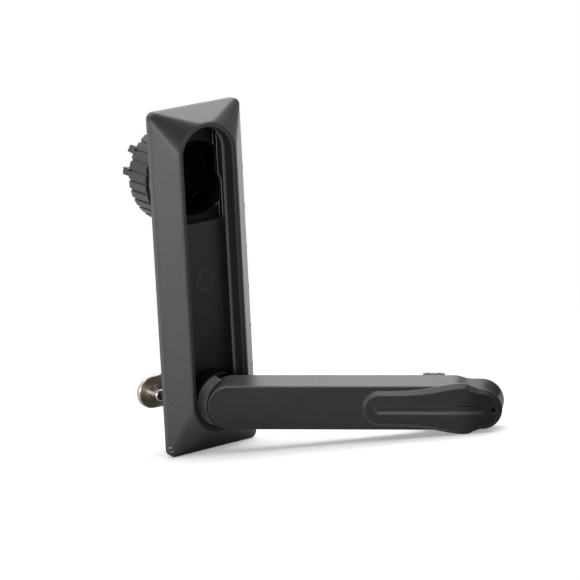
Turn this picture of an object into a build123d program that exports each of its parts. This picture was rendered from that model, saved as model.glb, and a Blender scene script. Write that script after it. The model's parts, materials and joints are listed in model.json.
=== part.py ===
from build123d import *

import os
from math import cos, radians, sin, tan

# Swing handle with a recessed dish for a cabinet door. The lever is swung out of the dish
# and turned aside.
#
# Frame: X across the dish, Z along it. The door's outer face is the plane Y = 0 and the
# dish stands out of it towards -Y. The origin is where the spindle's axis meets that plane.
# Lengths are in millimetres, angles in degrees.

os.makedirs("parts", exist_ok=True)

# ---------------------------------------------------------------- driving dimensions
# Clearances
running_gap = 0.3        # between pieces that move past each other
fit_gap = 0.05           # radial, in bearings and on pins
thread_gap = 0.1         # radial, where one thread stands in another
door_gap = 2.1           # door sheet between gasket and nut

# Dish
dish_width = 60.5
below_spindle = 32.0     # dish edge below the spindle's axis
above_spindle = 173.0    # dish edge above the spindle's axis
corner_radius = 4.2
rim_height = 4.0         # square side wall round the edge
frame_height = 15.9      # top of the sloping frame above the door
opening_radius = 18.7    # half the width of the opening in the frame
lip_width = 0.5
land_drop = 0.8
recess_radius = 16.5
recess_length = 145.8    # between the two round ends' centres
floor_height = 4.5       # recess floor above the door
floor_thickness = 2.5
wall = 2.4               # moulded wall
rib_thickness = 1.6
rib_pitch = 24.0
hip_arc = 80.0           # part of each round end that a corner of the frame runs into

# Lock pocket in the recess floor
pocket_low = 104.4       # lower edge above the spindle
pocket_half = 12.9       # half width of the upper part
pocket_wide_half = 14.7  # half width of the lower part
pocket_jog_low = 127.6   # the two widths meet between these heights
pocket_jog_high = 131.0
pocket_high = 161.4
pocket_skin = 1.0        # left between the pocket and the door, beside the boss
mark_height = 69.8       # moulded ring on the recess floor
mark_radius = 6.8
mark_width = 1.2
mark_rise = 0.4

# Upper boss, its gasket and nut
boss_height = 130.0      # boss axis above the spindle
boss_margin = 5.25       # boss inside the dish's sides
boss_wall = 3.0
boss_length = 26.0
boss_cap = 2.0
gasket_width = 4.0
gasket_thickness = 3.2
nut_wall = 5.0
nut_length = 18.2
nut_ribs = 32
nut_groove_width = 1.5
nut_groove_depth = 0.9
lug_length = 6.5
lug_height = 4.2
lug_depth = 4.0
lug_angles = (8, 34, 188, 214)
gasket_chamfer = 0.7

# Lower boss and its nut
neck_boss_radius = 12.0
neck_boss_length = 13.0
lower_gasket_radius = 17.0
lower_gasket_thickness = 2.0
lower_nut_across = 30.0
lower_nut_length = 6.0

# Rotor and spindle
rotor_radius = 16.2      # inside the recess
rotor_shoulder = 15.1    # the tapered collar starts here
collar_radius = 15.5
collar_end = -3.0        # the collar is open from here on, for the lever
rotor_top = 22.4
rotor_top_radius = 14.9
rotor_floor = 6.2        # slot floor that the closed lever lies on
rotor_wall = 2.2         # round the slot behind the heel
well_drop = 1.8          # the recess floor is this much lower under the rotor
neck_radius = 8.0
neck_length = 16.0
clip_groove_depth = 0.8
clip_thickness = 1.2
clip_radius = 10.6
thrust_thickness = 1.0
thrust_radius = 11.4
spindle_square = 8.0
spindle_inset = 4.5      # how far the spindle reaches into the rotor above the door
spindle_short = 0.2      # its end stands below the arm's rear face, so that the washer clamps
arm_offset = 24.0        # crank arm behind the door plane
arm_thickness = 3.0
arm_throw = 21.7         # spindle to stud
arm_end_radius = 9.8
arm_hub_radius = 11.0
arm_square = 6.5
arm_chamfer = 0.5
stud_radius = 3.0
stud_length = 8.3
stud_tip_radius = 3.4
stud_tip_length = 1.6
stud_tip_chamfer = 0.5
stud_collar_radius = 4.6
stud_collar_thickness = 1.2
screw_radius = 2.5
screw_head_radius = 4.6
screw_head_height = 3.2
screw_depth = 12.0
screw_head_chamfer = 1.0
hex_key = 3.0            # across flats
hex_key_depth = 1.8
washer_radius = 7.5
washer_thickness = 1.2

# Lever
lever_angle = 42.4       # of the opened lever to the door
hinge_side = 11.0        # hinge axis to the side of the spindle's axis
hinge_height = 15.0      # hinge axis above the door
hinge_pin_radius = 1.5
hinge_pin_half = 10.2
knuckle_radius = 3.2
knuckle_half = 5.0
face_height = 8.0        # lever's face above the hinge axis
heel_start = 3.1         # lever's end beyond the hinge axis
lever_width = 26.1
lever_thickness = 16.0
lever_draft = 6.4
lever_edge = 0.6
nose_radius = 11.0
nose_centre = 159.9
waist_start = 144.0      # the sides start to draw in
waist_end = 155.0
slot_gap = 0.35          # lever to the rotor's cheeks
pocket_count = 5
pocket_pitch = 19.5
pocket_first = 30.0
pocket_length = 16.5
pocket_width = 19.0
pocket_depth = 11.0

# Lock
lock_at = 132.0          # lock axis from the hinge axis
lock_case_wall = 2.7     # beside the catch's window
lock_case_width = 20.0
lock_case_low = 26.0     # rear of the case below the lever's face
lock_case_top = 5.0
plug_radius = 8.0
plug_inset = 0.2
plug_end = 19.8
catch_length = 12.6
catch_half = 14.0
catch_thickness = 3.0
catch_top = 20.5
catch_travel = 6.0
drive_pin_radius = 1.5
drive_slot_half = 3.0
catch_hole_radius = 0.9
catch_hole_spacing = 6.6
catch_hole_depth = 2.0
key_slot_width = 2.2
key_slot_length = 9.0
key_slot_end = 3.0       # left of the plug under the slot

# Key cover
cover_pivot = 168.2
cover_gap = 0.3
cover_thickness = 3.0
cover_bevel = 2.2
cover_start = 92.7
cover_end_radius = 12.0
cover_end_centre = 161.1
cover_tail_radius = 10.6
cover_bump_half = 15.1
cover_bump_at = 151.0
cover_bump_radius = 7.0     # from the widest point to the straight run towards the end
cover_bump_length = 4.5
cover_bump_drop = 1.4
cover_side_at = 134.0       # the side lies this near the lever's edge here
cover_side_inset = 0.4
cover_end_step = 1.0        # the end's arc starts this far before its centre
cover_groove_half = 2.7
cover_groove_slope = 50.0   # of the groove's sides from its depth
cover_groove_start = 100.0
cover_groove_end = 162.6
cover_groove_depth = 1.1
rivet_radius = 1.7
rivet_depth = 8.0
rivet_step = 0.6
rivet_recess = 1.0


# ---------------------------------------------------------------- places
DOOR = Plane.XZ  # local x = X, local y = Z, normal out of the door (-Y)
REAR = Plane(origin=(0, 0, 0), x_dir=(-1, 0, 0), z_dir=(0, 1, 0))  # normal into the cabinet
turn = radians(lever_angle)
along = (cos(turn), -sin(turn), 0)     # the lever's direction
outward = (-sin(turn), -cos(turn), 0)  # normal of the lever's face
hinge = Plane(origin=(-hinge_side, -hinge_height, 0), x_dir=along, z_dir=outward)
lever_face = hinge.offset(face_height)
lever_half = lever_width / 2
lever_back_half = lever_half + lever_thickness * tan(radians(lever_draft))
boss_radius = dish_width / 2 - boss_margin
gasket_radius = boss_radius + gasket_width
nut_radius = boss_radius + nut_wall


def stadium(radius, length=recess_length):
    """Closed outline round the spindle's axis and a second centre above it."""
    with BuildLine() as outline:
        Line((radius, 0), (radius, length))
        ThreePointArc((radius, length), (0, length + radius), (-radius, length))
        Line((-radius, length), (-radius, 0))
        ThreePointArc((-radius, 0), (0, -radius), (radius, 0))
    return outline


def frame_base(inset=0):
    """The dish's outer rectangle with rounded corners, in eight pieces."""
    half, low, high = dish_width / 2 - inset, inset - below_spindle, above_spindle - inset
    r = corner_radius - inset / 2
    with BuildLine() as outline:
        Line((half, low + r), (half, high - r))
        RadiusArc((half, high - r), (half - r, high), -r)
        Line((half - r, high), (-half + r, high))
        RadiusArc((-half + r, high), (-half, high - r), -r)
        Line((-half, high - r), (-half, low + r))
        RadiusArc((-half, low + r), (-half + r, low), -r)
        Line((-half + r, low), (half - r, low))
        RadiusArc((half - r, low), (half, low + r), -r)
    return outline


def frame_top(radius):
    """The stadium in eight pieces that match the rectangle's, with a short flat at each end."""
    c, s = radius * cos(radians(hip_arc)), radius * sin(radians(hip_arc))
    high = recess_length
    with BuildLine() as outline:
        Line((radius, 0), (radius, high))
        RadiusArc((radius, high), (c, high + s), -radius)
        Line((c, high + s), (-c, high + s))
        RadiusArc((-c, high + s), (-radius, high), -radius)
        Line((-radius, high), (-radius, 0))
        RadiusArc((-radius, 0), (-c, -s), -radius)
        Line((-c, -s), (c, -s))
        RadiusArc((c, -s), (radius, 0), -radius)
    return outline


def sloping_frame(inset, low, high, radius):
    """Solid between a rectangle at one height and the stadium at a greater one."""
    loft(
        [
            DOOR.offset(low) * Face(frame_base(inset).wire()),
            DOOR.offset(high) * Face(frame_top(radius).wire()),
        ],
        ruled=True,
    )


# ---------------------------------------------------------------- dish
tub_radius = recess_radius + wall
floor_back = floor_height - floor_thickness
pad_radius = gasket_radius + running_gap

with BuildPart() as dish:
    with BuildSketch(DOOR):
        make_face(frame_base().wire())
    extrude(amount=rim_height)
    sloping_frame(0, rim_height, frame_height, opening_radius + lip_width)

    # hollow behind the frame, with the tub of the recess left standing in it
    with BuildPart(mode=Mode.SUBTRACT):
        with BuildSketch(DOOR):
            make_face(frame_base(wall).wire())
        extrude(amount=rim_height - wall / 2)
        sloping_frame(wall, rim_height - wall / 2, frame_height - wall, tub_radius + running_gap)
        with BuildSketch(DOOR):
            make_face(stadium(tub_radius).wire())
        extrude(amount=frame_height, mode=Mode.SUBTRACT)
    with BuildSketch(DOOR):
        make_face(stadium(tub_radius - wall).wire())
    extrude(amount=floor_back, mode=Mode.SUBTRACT)

    # ribs between the tub and the rim
    rib_count = int(recess_length / rib_pitch)
    with BuildSketch(DOOR.offset(running_gap)):
        with Locations((0, recess_length / 2)):
            with GridLocations(dish_width / 2 + tub_radius, rib_pitch, 2, rib_count):
                Rectangle(dish_width / 2 - tub_radius, rib_thickness)
    extrude(amount=rim_height)

    # round pads and bosses behind the recess
    with BuildSketch(DOOR):
        with Locations((0, boss_height)):
            Circle(pad_radius)
        Circle(lower_gasket_radius + running_gap)
        with Locations((0, pocket_low - wall)):
            Rectangle(
                2 * recess_radius, boss_height - pocket_low, align=(Align.CENTER, Align.MIN)
            )
    extrude(amount=floor_height - well_drop)
    # thicker floor behind the upper end of the pocket
    with BuildSketch(DOOR):
        make_face(stadium(tub_radius).wire())
        with Locations((0, boss_height)):
            Rectangle(
                2 * tub_radius, pocket_high, align=(Align.CENTER, Align.MIN), mode=Mode.INTERSECT
            )
    extrude(amount=floor_height - well_drop)
    with BuildSketch(DOOR):
        with Locations((0, boss_height)):
            Circle(boss_radius)
    extrude(amount=-boss_length)
    with BuildSketch(DOOR):
        Circle(neck_boss_radius)
    extrude(amount=-neck_boss_length)

    # recess with its land, the well for the rotor and the rotor's bearing
    with BuildSketch(DOOR.offset(frame_height)):
        make_face(stadium(opening_radius).wire())
    extrude(amount=-land_drop, mode=Mode.SUBTRACT)
    with BuildSketch(DOOR.offset(frame_height)):
        make_face(stadium(recess_radius).wire())
    extrude(amount=floor_height - frame_height, mode=Mode.SUBTRACT)
    with BuildSketch(DOOR.offset(floor_height)):
        Circle(recess_radius)
    extrude(amount=-well_drop, mode=Mode.SUBTRACT)
    with BuildSketch(DOOR.offset(floor_height)):
        Circle(neck_radius + fit_gap)
    extrude(amount=-floor_height - neck_boss_length, mode=Mode.SUBTRACT)

    # lock pocket: an opening with a jog on each side, up to the recess's round end, over the
    # hollow of the boss
    with BuildSketch(DOOR.offset(floor_height)):
        with BuildLine():
            Polyline(
                (pocket_wide_half, pocket_low),
                (pocket_wide_half, pocket_jog_low),
                (pocket_half, pocket_jog_high),
                (pocket_half, pocket_high),
                (-pocket_half, pocket_high),
                (-pocket_half, pocket_jog_high),
                (-pocket_wide_half, pocket_jog_low),
                (-pocket_wide_half, pocket_low),
                (pocket_wide_half, pocket_low),
            )
        make_face()
        make_face(stadium(recess_radius).wire(), mode=Mode.INTERSECT)
    extrude(amount=pocket_skin - floor_height, mode=Mode.SUBTRACT)
    with BuildSketch(DOOR.offset(floor_back)):
        with Locations((0, boss_height)):
            Circle(boss_radius - boss_wall)
    extrude(amount=-floor_back - boss_length + boss_cap, mode=Mode.SUBTRACT)

    # moulded ring on the recess floor
    with BuildSketch(DOOR.offset(floor_height)):
        with Locations((0, mark_height)):
            Circle(mark_radius)
            Circle(mark_radius - mark_width, mode=Mode.SUBTRACT)
    extrude(amount=mark_rise)
dish.part.label = "dish"
export_step(dish.part, "parts/dish.step")

# ---------------------------------------------------------------- upper gasket and nut
with BuildPart() as boss_gasket:
    with BuildSketch(REAR):
        with Locations((0, boss_height)):
            Circle(gasket_radius)
            Circle(boss_radius + thread_gap, mode=Mode.SUBTRACT)
    extrude(amount=gasket_thickness)
    chamfer(boss_gasket.edges().group_by(Axis.Y)[-1].sort_by(SortBy.LENGTH)[-1], gasket_chamfer)
boss_gasket.part.label = "boss_gasket"
export_step(boss_gasket.part, "parts/boss_gasket.step")

nut_front = gasket_thickness + door_gap
with BuildPart() as clamp_nut:
    with BuildSketch(REAR.offset(nut_front)):
        with Locations((0, boss_height)):
            Circle(nut_radius)
            Circle(boss_radius + thread_gap, mode=Mode.SUBTRACT)
            with PolarLocations(nut_radius, nut_ribs):
                Rectangle(2 * nut_groove_depth, nut_groove_width, mode=Mode.SUBTRACT)
    extrude(amount=nut_length)
    with BuildSketch(REAR.offset(nut_front + nut_length)):
        with Locations((0, boss_height)):
            for angle in lug_angles:
                with PolarLocations(nut_radius - lug_depth / 2, 1, start_angle=angle):
                    Rectangle(lug_depth, lug_height)
    extrude(amount=lug_length)
clamp_nut.part.label = "clamp_nut"
export_step(clamp_nut.part, "parts/clamp_nut.step")

# ---------------------------------------------------------------- lower gasket and nut
with BuildPart() as neck_gasket:
    with BuildSketch(REAR):
        Circle(lower_gasket_radius)
        Circle(neck_boss_radius + thread_gap, mode=Mode.SUBTRACT)
    extrude(amount=lower_gasket_thickness)
neck_gasket.part.label = "neck_gasket"
export_step(neck_gasket.part, "parts/neck_gasket.step")

lower_nut_front = lower_gasket_thickness + door_gap
with BuildPart() as neck_nut:
    with BuildSketch(REAR.offset(lower_nut_front)):
        RegularPolygon(lower_nut_across / 2, 6, major_radius=False)
        Circle(neck_boss_radius + thread_gap, mode=Mode.SUBTRACT)
    extrude(amount=lower_nut_length)
neck_nut.part.label = "neck_nut"
export_step(neck_nut.part, "parts/neck_nut.step")

# ---------------------------------------------------------------- rotor
well_floor = floor_height - well_drop
clip_at = neck_boss_length + thrust_thickness + running_gap / 3
slot_radius = lever_back_half + slot_gap
slot_centre = slot_radius + rotor_wall - rotor_radius

with BuildPart() as rotor:
    with BuildSketch(Plane.XY):
        with BuildLine():
            Polyline(
                (0, neck_length),
                (neck_radius, neck_length),
                (neck_radius, -well_floor - running_gap),
                (rotor_radius, -well_floor - running_gap),
                (rotor_radius, -rotor_shoulder),
                (collar_radius, -rotor_shoulder),
                (rotor_top_radius, -rotor_top),
                (0, -rotor_top),
                (0, neck_length),
            )
        make_face()
    revolve(axis=Axis.Y)
    # slot for the lever's heel, open towards the lever
    with BuildSketch(DOOR.offset(rotor_floor)):
        with Locations((slot_centre, 0)):
            Circle(slot_radius)
            Rectangle(3 * rotor_radius, 2 * slot_radius, align=(Align.MIN, Align.CENTER))
    extrude(amount=2 * rotor_top, mode=Mode.SUBTRACT)
    with BuildSketch(DOOR.offset(rotor_shoulder)):
        with Locations((collar_end, 0)):
            Rectangle(2 * rotor_radius, 2 * rotor_radius, align=(Align.MIN, Align.CENTER))
    extrude(amount=rotor_top, mode=Mode.SUBTRACT)
    # room for the knuckle, and the hinge pin's hole
    with BuildSketch(Plane.XY):
        with Locations((-hinge_side, -hinge_height)):
            Circle(knuckle_radius + running_gap)
    extrude(amount=knuckle_half + running_gap, both=True, mode=Mode.SUBTRACT)
    with BuildSketch(Plane.XY):
        with Locations((-hinge_side, -hinge_height)):
            Circle(hinge_pin_radius)
    extrude(amount=hinge_pin_half, both=True, mode=Mode.SUBTRACT)
    # square socket for the spindle
    with BuildSketch(REAR.offset(-spindle_inset)):
        Rectangle(spindle_square, spindle_square)
    extrude(amount=spindle_inset + neck_length, mode=Mode.SUBTRACT)
    # groove for the retaining ring
    with BuildSketch(REAR.offset(clip_at)):
        Circle(neck_radius)
        Circle(neck_radius - clip_groove_depth, mode=Mode.SUBTRACT)
    extrude(amount=clip_thickness, mode=Mode.SUBTRACT)
rotor.part.label = "rotor"
export_step(rotor.part, "parts/rotor.step")

with BuildPart() as thrust_washer:
    with BuildSketch(REAR.offset(neck_boss_length)):
        Circle(thrust_radius)
        Circle(neck_radius + fit_gap, mode=Mode.SUBTRACT)
    extrude(amount=thrust_thickness)
thrust_washer.part.label = "thrust_washer"
export_step(thrust_washer.part, "parts/thrust_washer.step")

with BuildPart() as retaining_ring:
    with BuildSketch(REAR.offset(clip_at)):
        Circle(clip_radius)
        Circle(neck_radius - clip_groove_depth, mode=Mode.SUBTRACT)
        with Locations((0, -clip_radius)):
            Rectangle(neck_radius, clip_radius, mode=Mode.SUBTRACT)
    extrude(amount=clip_thickness)
retaining_ring.part.label = "retaining_ring"
export_step(retaining_ring.part, "parts/retaining_ring.step")

# ---------------------------------------------------------------- spindle and crank arm
with BuildPart() as spindle:
    with BuildSketch(REAR.offset(-spindle_inset)):
        Rectangle(spindle_square, spindle_square)
    extrude(amount=spindle_inset + arm_offset)
    with BuildSketch(REAR.offset(arm_offset)):
        Rectangle(arm_square, arm_square)
    extrude(amount=arm_thickness - spindle_short)
    with Locations(REAR.offset(arm_offset + arm_thickness - spindle_short)):
        Hole(screw_radius, screw_depth)
spindle.part.label = "spindle"
export_step(spindle.part, "parts/spindle.step")

with BuildPart() as crank_arm:
    with BuildSketch(REAR.offset(arm_offset)):
        Circle(arm_hub_radius)
        with Locations((arm_throw, 0)):
            Circle(arm_end_radius)
        with BuildLine():
            Polyline(
                (0, arm_hub_radius),
                (arm_throw, arm_end_radius),
                (arm_throw, -arm_end_radius),
                (0, -arm_hub_radius),
                (0, arm_hub_radius),
            )
        make_face()
    extrude(amount=arm_thickness)
    chamfer(crank_arm.faces().sort_by(Axis.Y)[0].edges(), arm_chamfer)
    with BuildSketch(REAR.offset(arm_offset)):
        Rectangle(arm_square, arm_square)
        with Locations((arm_throw, 0)):
            Circle(stud_radius)
    extrude(amount=arm_thickness, mode=Mode.SUBTRACT)
crank_arm.part.label = "crank_arm"
export_step(crank_arm.part, "parts/crank_arm.step")

with BuildPart() as crank_stud:
    with BuildSketch(Plane(origin=(-arm_throw, arm_offset, 0), z_dir=(0, 0, 1))):
        with BuildLine():
            Polyline(
                (0, -stud_length),
                (stud_tip_radius - stud_tip_chamfer, -stud_length),
                (stud_tip_radius, -stud_length + stud_tip_chamfer),
                (stud_tip_radius, -stud_length + stud_tip_length),
                (stud_radius, -stud_length + stud_tip_length),
                (stud_radius, -stud_collar_thickness),
                (stud_collar_radius, -stud_collar_thickness),
                (stud_collar_radius, 0),
                (stud_radius, 0),
                (stud_radius, arm_thickness),
                (0, arm_thickness),
                (0, -stud_length),
            )
        make_face()
    revolve(axis=Axis((-arm_throw, 0, 0), (0, 1, 0)))
crank_stud.part.label = "crank_stud"
export_step(crank_stud.part, "parts/crank_stud.step")

with BuildPart() as arm_washer:
    with BuildSketch(REAR.offset(arm_offset + arm_thickness)):
        Circle(washer_radius)
        Circle(screw_radius + thread_gap, mode=Mode.SUBTRACT)
    extrude(amount=washer_thickness)
arm_washer.part.label = "arm_washer"
export_step(arm_washer.part, "parts/arm_washer.step")

with BuildPart() as arm_screw:
    with BuildSketch(REAR.offset(arm_offset + arm_thickness + washer_thickness)):
        Circle(screw_head_radius)
    extrude(amount=screw_head_height)
    chamfer(arm_screw.edges().sort_by(Axis.Y)[-1], screw_head_chamfer)
    with BuildSketch(REAR.offset(arm_offset + arm_thickness + washer_thickness)):
        Circle(screw_radius)
    extrude(amount=-screw_depth)
    with BuildSketch(REAR.offset(arm_offset + arm_thickness + washer_thickness + screw_head_height)):
        RegularPolygon(hex_key / 2, 6, major_radius=False)
    extrude(amount=-hex_key_depth, mode=Mode.SUBTRACT)
arm_screw.part.label = "arm_screw"
export_step(arm_screw.part, "parts/arm_screw.step")

# ---------------------------------------------------------------- lever
heel_centre = heel_start + lever_half
lever_back = lever_face.offset(-lever_thickness)
case_centre = lock_at + catch_travel / 2
window_length = catch_length + catch_travel + 2 * running_gap
lock_case_length = window_length + 2 * lock_case_wall
plug_neck_radius = plug_radius - 1.5

def lever_outline(grow):
    """Plan of the lever, wider all round by an amount: round heel, waist, round nose."""
    half, nose = lever_half + grow, nose_radius + grow
    middle = ((waist_start + waist_end) / 2, (half + nose) / 2)
    with BuildLine() as outline:
        Line((heel_centre, half), (waist_start, half))
        draw_in = TangentArc((waist_start, half), middle, tangent=(1, 0))
        TangentArc(middle, (waist_end, nose), tangent=draw_in % 1)
        Line((waist_end, nose), (nose_centre, nose))
        mirror(about=Plane.XZ)
        ThreePointArc((nose_centre, nose), (nose_centre + nose, 0), (nose_centre, -nose))
        ThreePointArc((heel_centre, -half), (heel_centre - half, 0), (heel_centre, half))
    return outline


with BuildPart() as lever:
    loft(
        [
            lever_face * Face(lever_outline(0).wire()),
            lever_back * Face(lever_outline(lever_back_half - lever_half).wire()),
        ],
        ruled=True,
    )
    fillet(lever.faces().sort_by(Axis(lever_face.origin, lever_face.z_dir))[-1].edges(), lever_edge)
    # knuckle round the hinge pin
    with BuildSketch(Plane.XY):
        with Locations(Location((-hinge_side, -hinge_height, 0), (0, 0, -lever_angle))):
            Circle(knuckle_radius)
            Rectangle(2 * knuckle_radius, 2 * knuckle_radius, align=(Align.MIN, Align.CENTER))
    extrude(amount=knuckle_half, both=True)
    with BuildSketch(Plane.XY):
        with Locations((-hinge_side, -hinge_height)):
            Circle(hinge_pin_radius + fit_gap)
    extrude(amount=knuckle_half, both=True, mode=Mode.SUBTRACT)
    # pockets moulded into the back, with ribs left between them
    with BuildSketch(lever_back):
        with Locations((pocket_first + (pocket_count - 1) * pocket_pitch / 2, 0)):
            with GridLocations(pocket_pitch, 1, pocket_count, 1):
                RectangleRounded(pocket_length, pocket_width, 2)
    extrude(amount=pocket_depth, mode=Mode.SUBTRACT)
    # seat of the lock case and the plug's hole in the face
    with BuildSketch(lever_back):
        with Locations((case_centre, 0)):
            Rectangle(lock_case_length, lock_case_width)
    extrude(amount=lever_thickness - lock_case_top, mode=Mode.SUBTRACT)
    with BuildSketch(lever_face):
        with Locations((lock_at, 0)):
            Circle(plug_neck_radius + fit_gap)
    extrude(amount=-lock_case_top, mode=Mode.SUBTRACT)
    with BuildSketch(lever_face):
        with Locations((cover_pivot, 0)):
            Circle(rivet_radius)
    extrude(amount=-rivet_depth, mode=Mode.SUBTRACT)
lever.part.label = "lever"
export_step(lever.part, "parts/lever.step")

with BuildPart() as hinge_pin:
    with BuildSketch(Plane.XY):
        with Locations((-hinge_side, -hinge_height)):
            Circle(hinge_pin_radius)
    extrude(amount=hinge_pin_half, both=True)
    chamfer(hinge_pin.edges().filter_by(GeomType.CIRCLE), 0.3)
hinge_pin.part.label = "hinge_pin"
export_step(hinge_pin.part, "parts/hinge_pin.step")

# ---------------------------------------------------------------- lock
catch_middle = lever_face.offset(-catch_top - catch_thickness / 2).from_local_coords((lock_at, 0, 0))

with BuildPart() as lock_case:
    with BuildSketch(lever_face.offset(-lock_case_top)):
        with Locations((case_centre, 0)):
            Rectangle(lock_case_length, lock_case_width)
    extrude(amount=lock_case_top - lock_case_low)
    with BuildSketch(lever_face.offset(-lock_case_top)):
        with Locations((lock_at, 0)):
            Circle(plug_radius + fit_gap)
    extrude(amount=lock_case_top - catch_top, mode=Mode.SUBTRACT)
    with BuildSketch(lever_face.offset(running_gap - catch_top)):
        with Locations((case_centre, 0)):
            Rectangle(window_length, 2 * lock_case_width)
    extrude(amount=-catch_thickness - 2 * running_gap, mode=Mode.SUBTRACT)
    chamfer(lock_case.faces().sort_by(Axis(lever_face.origin, lever_face.z_dir))[0].edges(), 0.6)
lock_case.part.label = "lock_case"
export_step(lock_case.part, "parts/lock_case.step")

with BuildPart() as lock_plug:
    with BuildSketch(lever_face.offset(-plug_inset)):
        with Locations((lock_at, 0)):
            Circle(plug_neck_radius)
    extrude(amount=plug_inset - lock_case_top - running_gap / 3)
    with BuildSketch(lever_face.offset(-lock_case_top - running_gap / 3)):
        with Locations((lock_at, 0)):
            Circle(plug_radius)
    extrude(amount=lock_case_top + running_gap / 3 - plug_end)
    with BuildSketch(lever_face.offset(-plug_end)):
        with Locations((lock_at, catch_travel)):
            Circle(drive_pin_radius)
    extrude(amount=plug_end - catch_top - catch_thickness)
    with BuildSketch(lever_face):
        with Locations((lock_at, 0)):
            Rectangle(key_slot_length, key_slot_width)
    extrude(amount=key_slot_end - plug_end, mode=Mode.SUBTRACT)
lock_plug.part.label = "lock_plug"
export_step(lock_plug.part, "parts/lock_plug.step")

with BuildPart() as lock_catch:
    with BuildSketch(lever_face.offset(-catch_top)):
        with Locations((lock_at, 0)):
            RectangleRounded(catch_length, 2 * catch_half, 1)
            SlotOverall(
                2 * (catch_travel + drive_pin_radius + running_gap) + drive_slot_half,
                2 * drive_slot_half,
                rotation=90,
                mode=Mode.SUBTRACT,
            )
    extrude(amount=-catch_thickness)
    with BuildSketch(Plane(catch_middle, x_dir=along, z_dir=(0, 0, 1)).offset(catch_half)):
        with GridLocations(catch_hole_spacing, 1, 2, 1):
            Circle(catch_hole_radius)
    extrude(amount=-catch_hole_depth, mode=Mode.SUBTRACT)
lock_catch.part.label = "lock_catch"
export_step(lock_catch.part, "parts/lock_catch.step")

# ---------------------------------------------------------------- key cover
cover_under = lever_face.offset(cover_gap)
cover_tail_centre = cover_start + cover_tail_radius
cover_top = cover_under.offset(cover_thickness)
cover_end_start = cover_end_centre - cover_end_step
cover_end_half = (cover_end_radius**2 - cover_end_step**2) ** 0.5
bump_end = (cover_bump_at + cover_bump_length, cover_bump_half - cover_bump_drop)

with BuildPart() as key_cover:
    with BuildSketch(cover_under):
        with BuildLine() as upper:
            Spline(
                (cover_tail_centre, cover_tail_radius),
                (cover_side_at, lever_half - cover_side_inset),
                (cover_bump_at, cover_bump_half),
                tangents=((1, 0), (1, 0)),
            )
            RadiusArc((cover_bump_at, cover_bump_half), bump_end, cover_bump_radius)
            Line(bump_end, (cover_end_start, cover_end_half))
            mirror(about=Plane.XZ)
            ThreePointArc(
                (cover_end_start, cover_end_half),
                (cover_end_centre + cover_end_radius, 0),
                (cover_end_start, -cover_end_half),
            )
            ThreePointArc(
                (cover_tail_centre, cover_tail_radius),
                (cover_start, 0),
                (cover_tail_centre, -cover_tail_radius),
            )
        make_face()
    extrude(amount=cover_thickness)
    chamfer(
        key_cover.faces().sort_by(Axis(lever_face.origin, lever_face.z_dir))[-1].edges(),
        cover_bevel,
    )
    with BuildSketch(lever_face):
        with Locations((cover_pivot, 0)):
            Circle(rivet_radius + fit_gap)
    extrude(amount=cover_gap + cover_thickness, mode=Mode.SUBTRACT)
    with BuildSketch(cover_top):
        with Locations(((cover_groove_start + cover_groove_end) / 2, 0)):
            SlotOverall(cover_groove_end - cover_groove_start, 2 * cover_groove_half)
    extrude(amount=-cover_groove_depth, taper=cover_groove_slope, mode=Mode.SUBTRACT)
key_cover.part.label = "key_cover"
export_step(key_cover.part, "parts/key_cover.step")

with BuildPart() as cover_pin:
    with BuildSketch(lever_face.offset(-rivet_depth)):
        with Locations((cover_pivot, 0)):
            Circle(rivet_radius)
    extrude(amount=rivet_depth + cover_gap + cover_thickness - rivet_recess)
    with BuildSketch(lever_face.offset(cover_gap + cover_thickness - rivet_recess)):
        with Locations((cover_pivot, 0)):
            Circle(rivet_radius - rivet_step)
    extrude(amount=-2, mode=Mode.SUBTRACT)
cover_pin.part.label = "cover_pin"
export_step(cover_pin.part, "parts/cover_pin.step")
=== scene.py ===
"""Looks of a recessed swing handle: camera, studio, finishes and small added forms.

Metres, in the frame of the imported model: X across the dish, Z along it, the door's face is
Y = 0 and the dish stands out of it towards -Y.
"""
import json
import math

import bmesh
import bpy
from mathutils import Matrix, Vector


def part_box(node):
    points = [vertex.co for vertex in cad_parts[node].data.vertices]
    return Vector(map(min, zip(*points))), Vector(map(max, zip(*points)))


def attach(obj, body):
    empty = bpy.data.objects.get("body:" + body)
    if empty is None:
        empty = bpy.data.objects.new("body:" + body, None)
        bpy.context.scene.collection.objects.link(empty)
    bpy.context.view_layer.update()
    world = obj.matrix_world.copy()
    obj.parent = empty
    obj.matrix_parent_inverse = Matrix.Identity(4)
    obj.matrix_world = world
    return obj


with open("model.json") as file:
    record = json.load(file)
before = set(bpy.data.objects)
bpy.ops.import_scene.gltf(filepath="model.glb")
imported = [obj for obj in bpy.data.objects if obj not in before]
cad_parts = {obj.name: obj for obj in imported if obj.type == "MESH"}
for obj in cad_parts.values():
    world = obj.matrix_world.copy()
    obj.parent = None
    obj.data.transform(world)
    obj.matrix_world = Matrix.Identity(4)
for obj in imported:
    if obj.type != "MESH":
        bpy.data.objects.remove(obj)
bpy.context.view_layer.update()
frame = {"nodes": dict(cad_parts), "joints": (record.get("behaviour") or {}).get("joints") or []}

MM = 0.001
nodes = frame["nodes"]
joints = {j["name"]: j for j in frame["joints"]}

# ---------------------------------------------------------------- places taken from the frame
HINGE = Vector(joints["lever_tilt"]["pos_m"])
ALONG = Vector(joints["catch_slide"]["axis"]).normalized()
OUTWARD = Vector(joints["cover_swivel"]["axis"]).normalized()
PIVOT = Vector(joints["cover_swivel"]["pos_m"])
DISH_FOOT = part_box("dish")[0][2]
COVER_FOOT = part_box("key_cover")[0][2]
STUD_AXIS = Vector(((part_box("crank_stud")[0][0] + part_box("crank_stud")[1][0]) / 2, 0, 0))
SPINDLE_AXIS = Vector((0, 0, 0))
BOSS_AXIS = Vector((0, 0, 130)) * MM

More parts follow.
